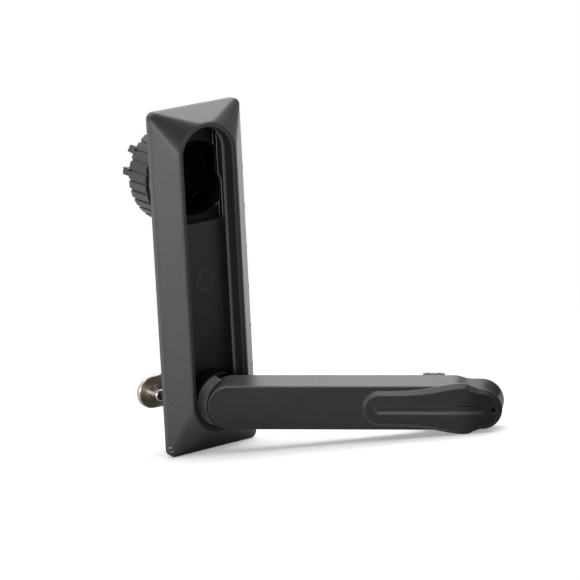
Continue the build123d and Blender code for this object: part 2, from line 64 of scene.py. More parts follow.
# ---------------------------------------------------------------- camera
SENSOR = 36.0
LENS = 198.5
CLIP_START, CLIP_END = 0.05, 50
CAMERA_DISTANCE = 1.8765
CAMERA_TARGET = Vector((56.18, -7.90, 53.70)) * MM
CAMERA_AZIMUTH = math.radians(-33.166)
CAMERA_ELEVATION = math.radians(15.723)
CAMERA_ROLL = math.radians(-2.763)


def make_camera():
    """A long lens aimed at a point above the lever, with a slight roll."""
    data = bpy.data.cameras.new("camera")
    data.sensor_width = SENSOR
    data.lens = LENS
    data.clip_start, data.clip_end = CLIP_START, CLIP_END
    camera = bpy.data.objects.new("camera", data)
    bpy.context.scene.collection.objects.link(camera)
    flat = math.cos(CAMERA_ELEVATION)
    back = Vector((
        math.sin(CAMERA_AZIMUTH) * flat,
        -math.cos(CAMERA_AZIMUTH) * flat,
        math.sin(CAMERA_ELEVATION),
    ))
    turn = (-back).to_track_quat("-Z", "Y").to_matrix().to_4x4()
    roll = Matrix.Rotation(CAMERA_ROLL, 4, "Z")
    place = Matrix.Translation(CAMERA_TARGET + back * CAMERA_DISTANCE)
    camera.matrix_world = place @ turn @ roll
    bpy.context.scene.camera = camera


# ---------------------------------------------------------------- node helpers
def add(tree, kind, **settings):
    """Places a node and sets its properties."""
    item = tree.nodes.new(kind)
    for key, value in settings.items():
        setattr(item, key, value)
    return item


def feed(tree, socket, value):
    """Links a source into a socket, or sets the socket's constant."""
    if isinstance(value, bpy.types.NodeSocket):
        tree.links.new(value, socket)
    else:
        socket.default_value = value


def calc(tree, operation, *values, clamp=False):
    """Maths on numbers or on sources of them."""
    item = add(tree, "ShaderNodeMath", operation=operation, use_clamp=clamp)
    for socket, value in zip(item.inputs, values):
        feed(tree, socket, value)
    return item.outputs[0]


def both(tree, *masks):
    """Product of masks: 1 only where all of them are."""
    product = masks[0]
    for mask in masks[1:]:
        product = calc(tree, "MULTIPLY", product, mask)
    return product


def vector(tree, operation, *values):
    """Vector maths: a number for a length, a distance or a dot product, else a vector."""
    item = add(tree, "ShaderNodeVectorMath", operation=operation)
    for socket, value in zip(item.inputs, values):
        feed(tree, socket, value)
    gives_number = operation in ("LENGTH", "DISTANCE", "DOT_PRODUCT")
    return item.outputs["Value" if gives_number else "Vector"]


def parts_of(tree, source):
    """X, Y and Z of a vector."""
    item = add(tree, "ShaderNodeSeparateXYZ")
    tree.links.new(source, item.inputs[0])
    return item.outputs


def own(tree, output="Object"):
    """Texture coordinates: the object's own unless another kind is named."""
    return add(tree, "ShaderNodeTexCoord").outputs[output]


def world_normal(tree):
    """Normal of the surface in the world's directions."""
    return add(tree, "ShaderNodeNewGeometry").outputs["Normal"]


def step(tree, value, low, high, out_low=0.0, out_high=1.0):
    """Smooth change from out_low at low to out_high at high."""
    item = add(tree, "ShaderNodeMapRange", interpolation_type="SMOOTHSTEP")
    for socket, number in zip(item.inputs, (value, low, high, out_low, out_high)):
        feed(tree, socket, number)
    return item.outputs[0]


def above(tree, value, limit, blur):
    """1 above a limit and 0 below it, blurred to either side of it."""
    return step(tree, value, limit - blur, limit + blur)


def below(tree, value, limit, blur):
    """1 below a limit and 0 above it, blurred to either side of it."""
    return step(tree, value, limit + blur, limit - blur)


def blend(tree, mask, low, high):
    """Number that goes from low to high with a mask."""
    return step(tree, mask, 0.0, 1.0, low, high)


def tint(tree, factor, first, second, mode="MIX"):
    """Colour that goes from the first to the second with a factor."""
    item = add(tree, "ShaderNodeMix", data_type="RGBA", blend_type=mode)
    feed(tree, item.inputs[0], factor)
    for socket, color in ((item.inputs[6], first), (item.inputs[7], second)):
        feed(tree, socket, color if isinstance(color, bpy.types.NodeSocket) else (*color, 1))
    return item.outputs[2]


def shades(color, share):
    """A colour made darker or lighter by a share."""
    return tuple(channel * share for channel in color)


def noise(tree, scale, detail=2.0, stretch=None):
    """Noise in the object's own coordinates; stretch squeezes them along each axis."""
    place = own(tree)
    if stretch:
        place = vector(tree, "MULTIPLY", place, stretch)
    item = add(tree, "ShaderNodeTexNoise")
    tree.links.new(place, item.inputs["Vector"])
    feed(tree, item.inputs["Scale"], scale)
    item.inputs["Detail"].default_value = detail
    return item.outputs["Fac"]


def relief(tree, height, depth, edge_radius):
    """Normal of a surface with rounded edges and a relief, and the normal without the relief."""
    rounded = add(tree, "ShaderNodeBevel", samples=6)
    feed(tree, rounded.inputs["Radius"], edge_radius)
    bump = add(tree, "ShaderNodeBump")
    bump.inputs["Strength"].default_value = 1.0
    feed(tree, bump.inputs["Distance"], depth)
    tree.links.new(height, bump.inputs["Height"])
    tree.links.new(rounded.outputs[0], bump.inputs["Normal"])
    return bump.outputs[0], rounded.outputs[0]


def new_group(name, inputs, outputs):
    """Shader node group; inputs are (name, default) for numbers or points, outputs (name, kind)."""
    tree = bpy.data.node_groups.new(name, "ShaderNodeTree")
    for label, value in inputs:
        kind = "NodeSocketFloat" if isinstance(value, float) else "NodeSocketVector"
        tree.interface.new_socket(label, in_out="INPUT", socket_type=kind).default_value = value
    for label, kind in outputs:
        tree.interface.new_socket(label, in_out="OUTPUT", socket_type="NodeSocket" + kind)
    return tree, add(tree, "NodeGroupInput").outputs, add(tree, "NodeGroupOutput").inputs


def use(tree, group, **inputs):
    """Places a group; underscores in the names of its inputs stand for spaces."""
    item = add(tree, "ShaderNodeGroup", node_tree=group)
    for key, value in inputs.items():
        feed(tree, item.inputs[key.replace("_", " ")], value)
    return item.outputs


# ---------------------------------------------------------------- floor, world and lamps
FLOOR_SIZE = 12.0
FLOOR_FRONT = -4.0 * MM            # the dish's front lower edge stands on the floor here
BUMP_ALONG = 151.0 * MM            # lowest point of the cover: from the hinge along the lever
BUMP_OUT = 8.3 * MM                # and out of the hinge's plane
WHITE_NEAR, WHITE_FAR = 0.16, 0.45     # the floor fades to plain white between these distances
SHADE_NEAR, SHADE_FAR = 0.03, 0.11     # and its reflection is dim near the dish, up to these
FLOOR_LIFT = 0.30                  # light of its own that the camera sees
FLOOR_GLOSS = 0.2                  # light of its own that the object reflects
FLOOR_SEEN = (0.80, 0.80, 0.80)
FLOOR_AROUND = (0.38, 0.38, 0.38)  # as it lights the object
ROOM_STRENGTH = 0.5                # for diffuse light
# darker and brighter parts of the room: direction, where the change starts and ends, and factor
ROOM_PARTS = (
    (Vector((-0.45, -0.5, 0.74)), 0.15, 0.9, 0.12),
    (Vector((0.9, 0.33, 0.22)), 0.82, 0.96, 0.1),
    (Vector((0.45, 0.82, 0.36)), 0.75, 0.97, 1.6),
    (Vector((0.53, -0.12, 0.84)), 0.84, 0.96, 3.0),
)
LIGHT_FOCUS = Vector((30, -50, 40)) * MM
# name, position, size and radiance of each lamp
LAMPS = (
    ("top_softbox", (0.02, 0.16, 1.42), 2.1, 2.0),
    ("left_softbox", (-1.5, -0.9, 0.15), 0.9, 7.5),
)


def floor_slope():
    """Rise of the floor per metre towards -Y, from the dish's edge to the cover's lower bump."""
    bump = HINGE + ALONG * BUMP_ALONG + OUTWARD * BUMP_OUT
    return (COVER_FOOT - DISH_FOOT) / (FLOOR_FRONT - bump.y)


def ray_kind(tree, *wanted):
    """1 on any of the named kinds of ray, else 0."""
    path = add(tree, "ShaderNodeLightPath")
    value = path.outputs[wanted[0]]
    for name in wanted[1:]:
        value = calc(tree, "MAXIMUM", value, path.outputs[name])
    return value


def mix_shaders(tree, factor, first, second):
    """Shader that goes from the first to the second with a factor."""
    item = add(tree, "ShaderNodeMixShader")
    for socket, source in zip(item.inputs, (factor, first, second)):
        tree.links.new(source, socket)
    return item.outputs[0]


def floor_material():
    """Pale paper with the object's shadow, fading to plain white, and clear from below."""
    material = bpy.data.materials.new("floor_white")
    material.use_nodes = True
    tree = material.node_tree
    tree.nodes.clear()
    seen = ray_kind(tree, "Is Camera Ray")
    paper = add(tree, "ShaderNodeBsdfDiffuse")
    shade = tint(tree, noise(tree, 3.0), FLOOR_SEEN, shades(FLOOR_SEEN, 1.04))
    tree.links.new(tint(tree, seen, FLOOR_AROUND, shade), paper.inputs[0])
    round_dish = vector(tree, "DISTANCE", own(tree), (0, 0, 0))
    reflected = both(tree, ray_kind(tree, "Is Glossy Ray"),
                     step(tree, round_dish, SHADE_NEAR, SHADE_FAR, 0, FLOOR_GLOSS))
    lift = add(tree, "ShaderNodeEmission")
    tree.links.new(calc(tree, "MULTIPLY_ADD", seen, FLOOR_LIFT, reflected), lift.inputs["Strength"])
    near = add(tree, "ShaderNodeAddShader")
    tree.links.new(paper.outputs[0], near.inputs[0])
    tree.links.new(lift.outputs[0], near.inputs[1])
    away = vector(tree, "DISTANCE", own(tree), (LIGHT_FOCUS.x, LIGHT_FOCUS.y, 0))
    white = add(tree, "ShaderNodeEmission").outputs[0]
    top = mix_shaders(tree, step(tree, away, WHITE_NEAR, WHITE_FAR), near.outputs[0], white)
    under = add(tree, "ShaderNodeBsdfTransparent").outputs[0]
    from_below = add(tree, "ShaderNodeNewGeometry").outputs["Backfacing"]
    tree.links.new(mix_shaders(tree, from_below, top, under),
                   add(tree, "ShaderNodeOutputMaterial").inputs["Surface"])
    return material


def make_floor():
    """Floor that the dish's lower edge and the cover's lower bump stand on."""
    bpy.ops.mesh.primitive_plane_add(size=FLOOR_SIZE)
    floor = bpy.context.object
    floor.name = "floor"
    floor.rotation_euler = (-math.atan(floor_slope()), 0, 0)
    floor.location = (0, FLOOR_FRONT, DISH_FOOT)
    floor.data.materials.append(floor_material())


def make_world():
    """White all round for what is seen, with darker and brighter parts for what is lit."""
    world = bpy.data.worlds.new("studio")
    bpy.context.scene.world = world
    world.use_nodes = True
    tree = world.node_tree
    tree.nodes.clear()
    looking = own(tree, "Generated")
    walls = both(tree, *(
        step(tree, vector(tree, "DOT_PRODUCT", looking, direction.normalized()),
             starts, ends, 1.0, factor)
        for direction, starts, ends, factor in ROOM_PARTS
    ))
    strength = both(tree, walls, blend(tree, ray_kind(tree, "Is Glossy Ray"), ROOM_STRENGTH, 1.0))
    direct = ray_kind(tree, "Is Camera Ray", "Is Transmission Ray")
    room = add(tree, "ShaderNodeBackground")
    room.inputs["Color"].default_value = (1, 1, 1, 1)
    tree.links.new(calc(tree, "MAXIMUM", strength, direct), room.inputs["Strength"])
    tree.links.new(room.outputs[0], add(tree, "ShaderNodeOutputWorld").inputs["Surface"])


def area_light(name, position, size, radiance):
    """A square soft lamp that faces the object; radiance is the brightness of its face."""
    data = bpy.data.lights.new(name, "AREA")
    data.shape = "SQUARE"
    data.size = size
    data.energy = radiance * math.pi * size * size
    lamp = bpy.data.objects.new(name, data)
    lamp.location = position
    lamp.rotation_euler = (LIGHT_FOCUS - Vector(position)).to_track_quat("-Z", "Y").to_euler()
    lamp.visible_camera = False
    bpy.context.scene.collection.objects.link(lamp)


# ---------------------------------------------------------------- shared effects
# part of a noise's range over which patches fade in
MOTTLED = (0.3, 0.7)
CLOUDY = (0.35, 0.7)
STAINED = (0.5, 0.72)
SPECKS_PER_METRE = 260
RINGS_PLANE = (1, 0, 1)     # tool rings lie across Y


def surface_group():
    """Fine grain and rounded edges: a normal, a mottle of 0 to 1, and a mask of sharp edges."""
    tree, given, result = new_group(
        "worked_surface",
        (("Grain Scale", 1200.0), ("Grain Depth", 0.00003), ("Edge Radius", 0.0004)),
        (("Normal", "Vector"), ("Mottle", "Float"), ("Edge", "Float")),
    )
    grain = noise(tree, given["Grain Scale"], 3.0)
    normal, rounded = relief(tree, grain, given["Grain Depth"], given["Edge Radius"])
    match = vector(tree, "DOT_PRODUCT", world_normal(tree), rounded)
    tree.links.new(normal, result["Normal"])
    tree.links.new(step(tree, grain, *MOTTLED), result["Mottle"])
    tree.links.new(step(tree, match, 0.99, 0.88), result["Edge"])
    return tree


def dust_and_top_light_group():
    """Sparse pale dust specks, and painted top light: a paler layer on faces that look up."""
    tree, given, result = new_group(
        "dust", (("Specks", 1.0), ("Film", 1.0)), (("Mask", "Float"),)
    )
    cells = add(tree, "ShaderNodeTexVoronoi")
    tree.links.new(own(tree), cells.inputs["Vector"])
    cells.inputs["Scale"].default_value = SPECKS_PER_METRE
    speck = step(tree, cells.outputs["Distance"], 0.10, 0.04)
    rare = step(tree, noise(tree, 170.0, 1.0), 0.66, 0.72)
    speck = both(tree, speck, rare, given["Specks"])
    # painted top light: faces that look up are made paler, unevenly
    upward = step(tree, parts_of(tree, world_normal(tree))["Z"], 0.2, 1.0)
    uneven = step(tree, noise(tree, 90.0, 4.0), 0.3, 0.75, 0.55, 1.0)
    painted_top_light = both(tree, upward, given["Film"], uneven)
    tree.links.new(calc(tree, "MAXIMUM", speck, painted_top_light, clamp=True), result["Mask"])
    return tree


def spot_group():
    """Mask of one elongated spot with a ragged outline."""
    tree, given, result = new_group(
        "spot",
        (("Centre", (0.0, 0.0, 0.0)), ("Half Size", (0.001, 0.001, 0.001))),
        (("Mask", "Float"),),
    )
    apart = vector(tree, "SUBTRACT", own(tree), given["Centre"])
    length = vector(tree, "LENGTH", vector(tree, "DIVIDE", apart, given["Half Size"]))
    ragged = calc(tree, "MULTIPLY_ADD", noise(tree, 2500.0), 0.8, length)
    tree.links.new(step(tree, ragged, 1.4, 1.1), result["Mask"])
    return tree


def rings_group():
    """Fine tool rings round an axis along Y: a normal, a mottle of 0 to 1, and the radius."""
    tree, given, result = new_group(
        "turned_rings",
        (("Centre", (0.0, 0.0, 0.0)), ("Pitch", 0.0003), ("Depth", 0.00002), ("Edge Radius", 0.0003)),
        (("Normal", "Vector"), ("Mottle", "Float"), ("Radius", "Float")),
    )
    apart = vector(tree, "SUBTRACT", own(tree), given["Centre"])
    radius = vector(tree, "LENGTH", vector(tree, "MULTIPLY", apart, RINGS_PLANE))
    turns = calc(tree, "DIVIDE", radius, given["Pitch"])
    waver = calc(tree, "MULTIPLY_ADD", noise(tree, 600.0, 3.0), 2.0, turns)
    ring = calc(tree, "SINE", calc(tree, "MULTIPLY", waver, math.tau))
    normal, _ = relief(tree, ring, given["Depth"], given["Edge Radius"])
    tree.links.new(normal, result["Normal"])
    tree.links.new(step(tree, noise(tree, 350.0, 4.0), *MOTTLED), result["Mottle"])
    tree.links.new(radius, result["Radius"])
    return tree


def circle_group():
    """Mask of a broken ring round a point."""
    tree, given, result = new_group(
        "worn_ring",
        (("Centre", (0.0, 0.0, 0.0)), ("Radius", 0.006), ("Half Width", 0.001)),
        (("Mask", "Float"),),
    )
    away = vector(tree, "DISTANCE", own(tree), given["Centre"])
    off = calc(tree, "ABSOLUTE", calc(tree, "SUBTRACT", away, given["Radius"]))
    share = calc(tree, "DIVIDE", off, given["Half Width"])
    worn = calc(tree, "MULTIPLY_ADD", noise(tree, 520.0, 5.0), 2.6, share)
    tree.links.new(step(tree, worn, 2.2, 1.3), result["Mask"])
    return tree


def recess_group():
    """Distances from the recess's middle line and the boss's axis, and height above the door."""
    tree, given, result = new_group(
        "recess_distance",
        (("Length", 0.1458), ("Boss", 0.13)),
        (("Distance", "Float"), ("Height", "Float"), ("Along", "Float"), ("From Boss", "Float")),
    )
    place = parts_of(tree, own(tree))

    def distance(rise):
        squares = calc(tree, "ADD", calc(tree, "MULTIPLY", place["X"], place["X"]),
                       calc(tree, "MULTIPLY", rise, rise))
        return calc(tree, "SQRT", squares)

    nearest = calc(tree, "MINIMUM", calc(tree, "MAXIMUM", place["Z"], 0.0), given["Length"])
    tree.links.new(distance(calc(tree, "SUBTRACT", place["Z"], nearest)), result["Distance"])
    rise = calc(tree, "SUBTRACT", place["Z"], given["Boss"])
    tree.links.new(distance(rise), result["From Boss"])
    tree.links.new(calc(tree, "MULTIPLY", place["Y"], -1.0), result["Height"])
    tree.links.new(place["Z"], result["Along"])
    return tree


def lever_group():
    """Distance along the lever from its hinge, and how far a surface turns from the lever's face."""
    tree, given, result = new_group(
        "lever_place",
        (("Hinge", (0.0, 0.0, 0.0)), ("Along", (1.0, 0.0, 0.0)), ("Outward", (0.0, -1.0, 0.0))),
        (("Distance", "Float"), ("Turned", "Float")),
    )
    apart = vector(tree, "SUBTRACT", own(tree), given["Hinge"])
    tree.links.new(vector(tree, "DOT_PRODUCT", apart, given["Along"]), result["Distance"])
    match = vector(tree, "DOT_PRODUCT", own(tree, "Normal"), given["Outward"])
    tree.links.new(step(tree, match, 0.97, 0.85), result["Turned"])
    return tree


SURFACE = surface_group()
DUST_AND_TOP_LIGHT = dust_and_top_light_group()
SPOT = spot_group()
RINGS = rings_group()
CIRCLE = circle_group()
RECESS = recess_group()
LEVER_PLACE = lever_group()


# ---------------------------------------------------------------- finishes
# pale colour of the dust specks and of the painted top light
DUST_AND_TOP_LIGHT_COLOR = (0.30, 0.295, 0.30)
EDGE_SHINE = 1.25       # a metal's worn edges against its colour
STAIN_SHADE = 0.35      # a metal's stains against its colour


def new_material(name):
    """A material, its tree and the inputs of its Principled shader."""
    material = bpy.data.materials.new(name)
    material.use_nodes = True
    return material, material.node_tree, material.node_tree.nodes["Principled BSDF"].inputs


def mottled(tree, mottle, cloudy, color, contrast, cloud, cloud_shade):
    """Colour that varies with the grain by a contrast, and in wide patches towards a shade."""
    body = tint(tree, mottle, shades(color, 1 - contrast), shades(color, 1 + contrast))
    return tint(tree, step(tree, cloudy, *CLOUDY, 0.0, cloud), body, shades(color, cloud_shade))


def moulded(name, color, roughness, grain=1200.0, depth=0.03 * MM, edge=0.4 * MM,
            contrast=0.15, edge_highlight=1.2, specular=0.5, dust=0.15, painted_top_light=0.15):
    """Moulded plastic or rubber: mottled colour, grain, painted highlights on rounded edges, dust
    specks and painted top light.
    """
    material, tree, shader = new_material(name)
    surface = use(tree, SURFACE, Grain_Scale=grain, Grain_Depth=depth, Edge_Radius=edge)
    cloudy = noise(tree, 60.0, 4.0)
    body = mottled(tree, surface["Mottle"], cloudy, color, contrast, 0.5, 0.8)
    # painted highlight: rounded edges are lightened by a share of the colour
    body = tint(tree, surface["Edge"], body, shades(color, edge_highlight))
    # dust specks, and painted top light on faces that look up
    body = tint(tree, use(tree, DUST_AND_TOP_LIGHT, Specks=dust, Film=painted_top_light)["Mask"], body, DUST_AND_TOP_LIGHT_COLOR)
    tree.links.new(body, shader["Base Color"])
    tree.links.new(step(tree, cloudy, *MOTTLED, roughness - 0.05, roughness + 0.05),
                   shader["Roughness"])
    tree.links.new(surface["Normal"], shader["Normal"])
    shader["Specular IOR Level"].default_value = specular
    return material


def metal(name, color, roughness, grain=900.0, depth=0.005 * MM, edge=0.2 * MM, stretch=None):
    """Plated or bare metal: fine tool marks, uneven roughness and darker stains."""
    material, tree, shader = new_material(name)
    surface = use(tree, SURFACE, Grain_Scale=grain, Grain_Depth=depth, Edge_Radius=edge)
    stain = noise(tree, 220.0, 5.0, stretch)
    body = tint(tree, surface["Mottle"], shades(color, 0.9), shades(color, 1.05))
    body = tint(tree, step(tree, stain, *STAINED, 0.0, 0.5), body, shades(color, STAIN_SHADE))
    body = tint(tree, surface["Edge"], body, tuple(min(1.0, c * EDGE_SHINE) for c in color))
    tree.links.new(body, shader["Base Color"])
    tree.links.new(step(tree, stain, *MOTTLED, roughness - 0.06, roughness + 0.12),
                   shader["Roughness"])
    tree.links.new(surface["Normal"], shader["Normal"])
    shader["Metallic"].default_value = 1.0
    return material


# ---------------------------------------------------------------- finish of the dish
# distances are from the recess's middle line, heights from the door's face
RECESS_LENGTH = 145.8 * MM
INSIDE_REACH = 18.8 * MM        # the smoother, darker inside reaches out to here
WALL_START = 16.25 * MM         # where the recess's floor turns into its side
FLOOR_HEIGHT = 4.25 * MM        # what lies lower belongs to the pocket or the rotor's well
LIT_FOOT_HEIGHT = 6.7 * MM          # painted reflection on the side below this
POCKET_START = 90.5 * MM        # along the dish, past the rotor's well
POCKET_REACH = 16.8 * MM
HOLLOW_RADIUS = 22.4 * MM       # of the hollow in the upper boss
# painted highlight on the edge down each side of the pocket: from the middle line, and along the dish
EDGE_HIGHLIGHT_FROM, EDGE_HIGHLIGHT_TO = 12.3 * MM, 15.2 * MM
EDGE_HIGHLIGHT_START = 106.0 * MM

DISH_COLOR = (0.045, 0.0445, 0.048)
DISH_GLANCING_REFLECTION = (0.36, 0.355, 0.365)     # painted reflection where the frame is seen almost edge on
RECESS_COLOR = (0.006, 0.0058, 0.0085)
POCKET_SHADE_COLOR = (0.0045, 0.0045, 0.0054)
# pale colour of the real worn marks, and in other shares of the painted light and highlights in the
# recess
WORN_AND_LIT_COLOR = (0.15, 0.148, 0.162)
SPECK_COLOR = (0.55, 0.56, 0.58)
CORNER_PAINTED_SHADE = 0.45             # painted shade on the corner faces, as a share of the dish's colour
DISH_GRAIN, DISH_EDGE = 0.04 * MM, 2.6 * MM
RECESS_GRAIN, RECESS_EDGE = 0.004 * MM, 0.5 * MM
DISH_ROUGHNESS, RECESS_ROUGHNESS = 0.40, 0.34
DISH_GLOSS, RECESS_GLOSS = 0.8, 0.32
CORNER_GLOSS, POCKET_GLOSS = 0.6, 0.3   # less shine on the corner faces and in the pocket, against the gloss round them, as part of their painted shade

# pale broken arc on the moulded ring on the recess's floor, and a pale patch inside the ring
MARK_CENTRE = tuple(Vector((0, -4.9, 69.8)) * MM)
MARK_RADIUS, MARK_HALF_WIDTH = 5.9 * MM, 1.0 * MM
SCUFF_CENTRE = tuple(Vector((-2.4, -4.9, 71.2)) * MM)
SCUFF_HALF = tuple(Vector((0.8, 1.0, 3.4)) * MM)
# pale scratches at the dish's lower corner: centre and half size in millimetres
DISH_MARKS = (
    ((-29.6, -4.6, -25.4), (1.0, 1.6, 0.45)),
    ((-28.9, -5.2, -28.0), (1.3, 1.6, 0.4)),
    ((-29.9, -4.2, -30.3), (0.5, 1.2, 0.8)),
)


def dish_masks(tree):
    """The parts of the dish that have a finish of their own."""
    place = use(tree, RECESS, Length=RECESS_LENGTH, Boss=BOSS_AXIS.z)
    across, height, along = place["Distance"], place["Height"], place["Along"]
    normal = parts_of(tree, own(tree, "Normal"))
    sunk = below(tree, height, FLOOR_HEIGHT, 0.15 * MM)
    hollow = both(tree, sunk, below(tree, place["From Boss"], HOLLOW_RADIUS, 0.2 * MM))
    recess = both(tree, below(tree, across, INSIDE_REACH, 0.2 * MM),
                  above(tree, height, 0.0, 0.5 * MM))
    # the back of the recess and of the boss is the same plastic as the frame
    to_front = below(tree, normal["Y"], 0.45, 0.15)
    pocket = both(tree, sunk, above(tree, along, POCKET_START, 0.5 * MM),
                  below(tree, across, POCKET_REACH, 0.2 * MM))
    wall = above(tree, across, WALL_START, 0.15 * MM)
    return {
        "inside": both(tree, calc(tree, "MAXIMUM", recess, hollow), to_front),
        "pocket": calc(tree, "MAXIMUM", pocket, hollow),
        "wall": wall,
        "lit_foot": both(tree, wall, below(tree, height, LIT_FOOT_HEIGHT, 1.5 * MM)),
        "pocket edge highlight": both(tree, above(tree, across, EDGE_HIGHLIGHT_FROM, 0.1 * MM),
                          below(tree, across, EDGE_HIGHLIGHT_TO, 0.1 * MM),
                          above(tree, along, EDGE_HIGHLIGHT_START, 1.0 * MM)),
        # faces between the top bevel and the side bevels, which get painted shade
        "corner": both(tree, above(tree, calc(tree, "ABSOLUTE", normal["X"]), 0.14, 0.11),
                       above(tree, normal["Z"], 0.115, 0.085)),
    }


def frame_color(tree, surface, cloudy, corner):
    """Mottled plastic with painted highlights at its edges and where seen almost edge on, and painted
    shade on the corner faces.
    """
    color = mottled(tree, surface["Mottle"], cloudy, DISH_COLOR, 0.28, 0.4, 0.85)
    # painted highlight on the frame's rounded edges
    color = tint(tree, calc(tree, "MULTIPLY", surface["Edge"], 0.6), color, shades(DISH_COLOR, 1.5))
    # painted reflection: pale where the frame faces +X and is seen almost edge on
    facing = add(tree, "ShaderNodeLayerWeight").outputs["Facing"]
    painted_glancing_reflection = both(tree, above(tree, facing, 0.81, 0.09),
                   above(tree, parts_of(tree, world_normal(tree))["X"], 0.45, 0.15))
    color = tint(tree, painted_glancing_reflection, color, DISH_GLANCING_REFLECTION)
    # painted shade on the corner faces
    return tint(tree, corner, color, shades(DISH_COLOR, CORNER_PAINTED_SHADE))


def inner_color(tree, surface, cloudy, masks):
    """Dark floor with pale worn patches at its moulded ring, painted light on the side, painted
    highlights at its foot and edges, and painted shade in the pocket.
    """
    color = tint(tree, step(tree, cloudy, *MOTTLED), shades(RECESS_COLOR, 0.85),
                 shades(RECESS_COLOR, 1.15))
    # painted light: the recess's side is lighter than its floor
    color = tint(tree, masks["wall"], color, shades(WORN_AND_LIT_COLOR, 0.15))
    # painted reflection of the lit floor at the foot of the side
    color = tint(tree, masks["lit_foot"], color, WORN_AND_LIT_COLOR)
    patchy = above(tree, noise(tree, 420.0, 3.0), 0.57, 0.09)
    arc = use(tree, CIRCLE, Centre=MARK_CENTRE, Radius=MARK_RADIUS, Half_Width=MARK_HALF_WIDTH)
    scuff = use(tree, SPOT, Centre=SCUFF_CENTRE, Half_Size=SCUFF_HALF)
    for mark, shade in ((arc, 0.7), (scuff, 0.6)):
        color = tint(tree, both(tree, mark["Mask"], patchy), color, shades(WORN_AND_LIT_COLOR, shade))
    # painted shade: the pocket and the boss's hollow are darker still
    color = tint(tree, masks["pocket"], color, POCKET_SHADE_COLOR)
    # painted highlights on the recess's edges, strongest down the sides of the pocket
    color = tint(tree, calc(tree, "MULTIPLY", surface["Edge"], 0.7), color, shades(WORN_AND_LIT_COLOR, 0.5))
    return tint(tree, both(tree, surface["Edge"], masks["pocket edge highlight"]), color,
                shades(WORN_AND_LIT_COLOR, 3.0))


def dish_finish():
    """Grained frame, smoother and darker inside the opening, with the worn lower corner."""
    material, tree, shader = new_material("dish_plastic")
    masks = dish_masks(tree)
    inside = masks["inside"]
    grained = use(tree, SURFACE, Grain_Scale=1500.0, Grain_Depth=DISH_GRAIN, Edge_Radius=DISH_EDGE)
    smooth = use(tree, SURFACE, Grain_Scale=500.0, Grain_Depth=RECESS_GRAIN,
                 Edge_Radius=RECESS_EDGE)
    cloudy = noise(tree, 45.0, 4.0)
    color = tint(tree, inside, frame_color(tree, grained, cloudy, masks["corner"]),
                 inner_color(tree, smooth, cloudy, masks))
    # dust specks with a faint painted top light
    marks = use(tree, DUST_AND_TOP_LIGHT, Specks=0.5, Film=0.02)["Mask"]
    for centre, half in DISH_MARKS:
        spot = use(tree, SPOT, Centre=tuple(c * MM for c in centre),
                   Half_Size=tuple(h * MM for h in half))["Mask"]
        marks = calc(tree, "MAXIMUM", marks, spot)
    tree.links.new(tint(tree, marks, color, SPECK_COLOR), shader["Base Color"])
    normal = add(tree, "ShaderNodeMix", data_type="VECTOR")
    tree.links.new(inside, normal.inputs[0])
    tree.links.new(grained["Normal"], normal.inputs[4])
    tree.links.new(smooth["Normal"], normal.inputs[5])
    tree.links.new(normal.outputs[1], shader["Normal"])
    tree.links.new(blend(tree, inside, DISH_ROUGHNESS, RECESS_ROUGHNESS), shader["Roughness"])
    # less shine at the corners and in the pocket adds to their painted shade
    gloss = both(tree, blend(tree, inside, DISH_GLOSS, RECESS_GLOSS),
                 blend(tree, masks["corner"], 1.0, CORNER_GLOSS),
                 blend(tree, masks["pocket"], 1.0, POCKET_GLOSS))
    tree.links.new(gloss, shader["Specular IOR Level"])
    return material


# ---------------------------------------------------------------- finishes of single pieces
# painted light: along the lever, its sides and the cover's are lighter up to here
LIT_SIDE_END = 147.0 * MM
# and, as painted shade, all of it shines less from the first of these to the second
SHADED_TAIL_START, SHADED_TAIL_END = 148.0 * MM, 160.0 * MM
SHADED_TAIL_SHINE = 0.45               # of the shine before that
COLLAR_HEIGHT = 15.1 * MM       # foot of the rotor's collar above the door
ROTOR_COLOR = (0.034, 0.034, 0.036)
DRUM_PAINTED_SHADOW = 0.1                # painted shadow on the drum, as a share of the rotor's colour
# painted light on the collar's underside, as a share of the rotor's colour
UNDERSIDE_PAINTED_LIGHT = 3.0
# the crank arm is browner round the stud: full inside the first radius, none past the second
BROWN_INNER, BROWN_OUTER = 8.6 * MM, 9.6 * MM
BROWN_CAST = (0.55, 0.47, 0.4)  # of the arm's colour
BROWN_SHARE = 0.55


def bevelled(material, lit_side_color):
    """Painted light on the sides and bevels of a piece whose front faces along the lever's face, and
    painted shade towards its tail.
    """
    tree = material.node_tree
    shader = tree.nodes["Principled BSDF"].inputs
    place = use(tree, LEVER_PLACE, Hinge=tuple(HINGE), Along=tuple(ALONG), Outward=tuple(OUTWARD))
    # painted light on the sides and bevels
    share = both(tree, place["Turned"], below(tree, place["Distance"], LIT_SIDE_END, 5.0 * MM))
    color = shader["Base Color"].links[0].from_socket
    tree.links.new(tint(tree, share, color, lit_side_color, "LIGHTEN"), shader["Base Color"])
    # painted shade: less shine towards the tail
    shine = shader["Specular IOR Level"].default_value
    tree.links.new(step(tree, place["Distance"], SHADED_TAIL_START, SHADED_TAIL_END, shine, shine * SHADED_TAIL_SHINE),
                   shader["Specular IOR Level"])
    return material


